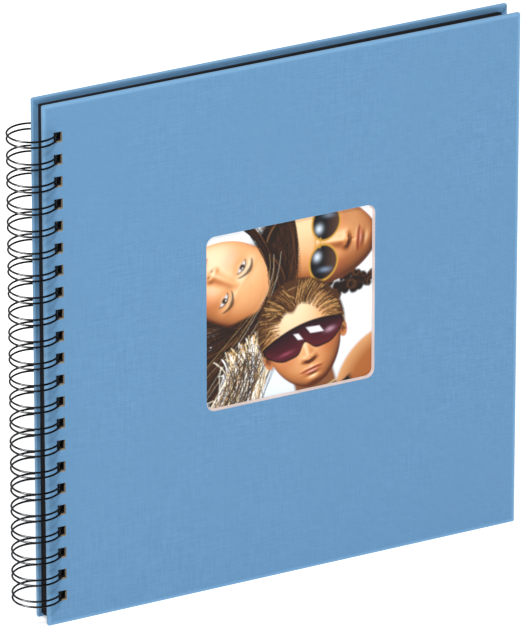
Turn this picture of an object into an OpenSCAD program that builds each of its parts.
// Wire-bound scrapbook album, standing on its lower edges.
// The front cover faces -Y, the binding is at -X and the spine runs along Z.
// The origin lies under the middle of the binding and covers, on the standing plane.
// All leaves and covers turn about one line, the middle line of the wire loops.

/* [Covers] */
// Width of each cover, from spine edge to fore edge
cover_w = 286; // [200:1:320]
// Height of each cover
cover_h = 302; // [295:1:320]
// Thickness of the greyboard
board_t = 1.85; // [1.2:0.05:3]
// Thickness of the book cloth
cloth_t = 0.3; // [0.2:0.05:0.5]
// Thickness of the black endpaper
endpaper_t = 0.25; // [0.15:0.05:0.5]
// Width of the cloth turned in round the inside
turn_in = 16; // [10:1:25]
// Gap from a cover's edge to the endpaper
endpaper_inset = 4; // [2:0.5:8]
// Angle at which the closed front cover stands ajar
ajar = 0.45; // [0:0.05:1]

/* [Leaves] */
// Thickness of one black leaf
page_t = 0.36; // [0.2:0.01:0.36]
// Distance from one leaf to the next
page_pitch = 0.38; // [0.38:0.01:0.4]
// Gap from the covers' spine edge to the leaves
page_spine_inset = 3.4; // [1:0.1:4]
// Gap from the covers' fore edge to the leaves
page_fore_inset = 6.2; // [1:0.1:8]
// Gap from the covers' top edge to the leaves
page_top_inset = 3.3; // [1:0.1:8]
// Gap from the covers' lower edge to the leaves
page_foot_inset = 3; // [1:0.1:8]

/* [Punching] */
// Number of punched holes in the row
hole_count = 22; // [10:1:22]
// Distance between hole centres
hole_pitch = 12.7; // [12.7:0.1:13]
// Width of a hole, across the spine
hole_w = 5; // [4.8:0.1:5.4]
// Height of a hole, along the spine
hole_h = 6; // [5.6:0.1:7]
// Distance from the spine edge to the hole centres
hole_inset = 8.8; // [8.7:0.1:9]
// Distance from the top edge to the first hole's centre
first_hole = 19; // [16:0.5:24]

/* [Wire] */
// Radius of the loops, to the middle of the wire
loop_r = 13.2; // [13.1:0.1:13.3]
// Diameter of the coated wire
wire_d = 1.1; // [0.9:0.1:1.1]
// Distance between the two wires of a double loop
loop_gap = 3.2; // [2.6:0.1:3.4]
// Distance from the covers' spine edge out to the loops' middle line
axis_out = 3; // [2.9:0.1:3.1]
// Height of the loops above the middles of their holes
loop_lift = 0.6; // [0:0.1:0.7]
// Direction from the loops' middle to the closing seam
seam_angle = 52; // [51:1:53]

/* [Window] */
// Width of the die-cut window
window_w = 102; // [60:1:140]
// Height of the die-cut window
window_h = 102; // [60:1:140]
// Radius of the window's corners
window_r = 5; // [2:0.5:12]
// Distance from the spine edge to the window
window_left = 96; // [40:1:110]
// Distance from the lower edge to the window
window_foot = 105.8; // [60:1:120]
// Overlap of the picture behind the window's rim
picture_rim = 4; // [2:0.5:8]

/* [Hidden] */
page_count = 25;
cover_t = cloth_t + board_t + cloth_t + endpaper_t;
half_stack = page_count * page_pitch / 2;
wire_r = wire_d / 2;
loop_out = loop_r + wire_r;
total_w = cover_w + axis_out + loop_out;
fore_x = total_w / 2;
spine_x = fore_x - cover_w;
axis_x = spine_x - axis_out;
picture_t = cloth_t - 0.05;
elbow_r = 1.06 * wire_r;
seam_half = 5;
tip_angle = seam_angle + seam_half;
base_angle = seam_angle - seam_half;
through = 1;
page_names = [for (i = [1 : page_count]) str("page_", i < 10 ? "0" : "", i)];

cloth_colour = "#6E9EC8";
board_colour = "#C9B596";
page_colour = "#111113";
wire_colour = "#0B0B0C";
picture_colour = "#B98F72";

function hole_z(i) = cover_h - first_hole - i * hole_pitch;
function page_y(i) = (i - (page_count + 1) / 2) * page_pitch;

// A flat sheet in the cover's plane: x from the spine edge, z from the lower edge,
// y from the outer face inwards.
module sheet(x0, x1, z0, z1, y0, t) {
    translate([x0, y0, z0]) cube([x1 - x0, t, z1 - z0]);
}

// The row of punched holes, through a thickness t from y0.
module punching(y0, t) {
    for (i = [0 : hole_count - 1])
        translate([hole_inset - hole_w / 2, y0 - through, hole_z(i) - hole_h / 2])
            cube([hole_w, t + 2 * through, hole_h]);
}

// The window's outline with round corners, cut through the cover.
module window_cut() {
    translate([window_left, cover_t + through, window_foot])
        rotate([90, 0, 0])
            linear_extrude(cover_t + 2 * through) {
                translate([window_r, 0]) square([window_w - 2 * window_r, window_h]);
                translate([0, window_r]) square([window_w, window_h - 2 * window_r]);
                for (x = [window_r, window_w - window_r], z = [window_r, window_h - window_r])
                    translate([x, z]) circle(r = window_r, $fn = 48);
            }
}

// Greyboard of one cover, without its holes.
module board_blank() {
    sheet(cloth_t, cover_w - cloth_t, cloth_t, cover_h - cloth_t, cloth_t, board_t);
}

// Book cloth of one cover: outside, four edges and the strip turned in.
module cloth_blank() {
    difference() {
        sheet(0, cover_w, 0, cover_h, 0, cover_t - endpaper_t);
        board_blank();
        sheet(turn_in, cover_w - turn_in, turn_in, cover_h - turn_in,
              cloth_t + board_t - through, cloth_t + 2 * through);
    }
}

// Black endpaper over the turned-in strips, without its holes.
module endpaper_blank() {
    sheet(endpaper_inset, cover_w - endpaper_inset, endpaper_inset, cover_h - endpaper_inset,
          cover_t - endpaper_t, endpaper_t);
}

// Puts a cover-plane piece at the front, standing ajar about the loops' middle line.
module at_front() {
    translate([axis_x, 0, 0])
        rotate([0, 0, -ajar])
            translate([axis_out, -half_stack - cover_t, 0]) children();
}

// Puts a cover-plane piece at the back, with its outer face to +Y.
module at_back() {
    translate([spine_x, half_stack + cover_t, 0]) mirror([0, 1, 0]) children();
}

// One turn of wire about the middle line, from its tip round to its base.
module wire_turn() {
    rotate([0, 0, tip_angle])
        rotate_extrude(angle = 360 - tip_angle + base_angle, $fn = 96)
            translate([loop_r, 0]) circle(r = wire_r, $fn = 24);
}

// A straight piece of wire along Z with a round elbow at each end, from its lower elbow.
module wire_run(length) {
    cylinder(h = length, r = wire_r, $fn = 24);
    for (z = [0, length]) translate([0, 0, z]) sphere(r = elbow_r, $fn = 24);
}

// The tip that joins the two wires of a double loop.
module loop_tip() {
    rotate([0, 0, tip_angle]) translate([loop_r, 0, -loop_gap / 2]) wire_run(loop_gap);
}

// The run along the seam, from a loop's lower wire down to the next loop's upper wire.
module base_run() {
    run = hole_pitch - loop_gap;
    rotate([0, 0, base_angle]) translate([loop_r, 0, -loop_gap / 2 - run]) wire_run(run);
}

module binding_wire() {
    color(wire_colour) translate([axis_x, 0, loop_lift])
        for (i = [0 : hole_count - 1])
            translate([0, 0, hole_z(i)]) {
                loop_tip();
                for (side = [-1, 1])
                    translate([0, 0, side * loop_gap / 2]) wire_turn();
                if (i < hole_count - 1) base_run();
            }
}

module front_board() {
    color(board_colour) at_front() difference() {
        board_blank();
        punching(cloth_t, board_t);
        window_cut();
    }
}

module front_cloth() {
    color(cloth_colour) at_front() difference() {
        cloth_blank();
        punching(0, cover_t);
        window_cut();
    }
}

module front_endpaper() {
    color(page_colour) at_front() difference() {
        endpaper_blank();
        punching(cover_t - endpaper_t, endpaper_t);
    }
}

module cover_picture() {
    color(picture_colour) at_front()
        sheet(window_left - picture_rim, window_left + window_w + picture_rim,
              window_foot - picture_rim, window_foot + window_h + picture_rim,
              cloth_t + board_t, picture_t);
}

module back_board() {
    color(board_colour) at_back() difference() {
        board_blank();
        punching(cloth_t, board_t);
    }
}

module back_cloth() {
    color(cloth_colour) at_back() difference() {
        cloth_blank();
        punching(0, cover_t);
    }
}

module back_endpaper() {
    color(page_colour) at_back() difference() {
        endpaper_blank();
        punching(cover_t - endpaper_t, endpaper_t);
    }
}

// One leaf; leaf 1 lies behind the front cover and the last one on the back cover.
module page(i) {
    y0 = page_y(i) - page_t / 2;
    color(page_colour) translate([spine_x, 0, 0]) difference() {
        sheet(page_spine_inset, cover_w - page_fore_inset,
              page_foot_inset, cover_h - page_top_inset, y0, page_t);
        punching(y0, page_t);
    }
}

binding_wire();
front_board();
front_cloth();
front_endpaper();
cover_picture();
back_board();
back_cloth();
back_endpaper();
for (i = [1 : page_count])
    page(i);
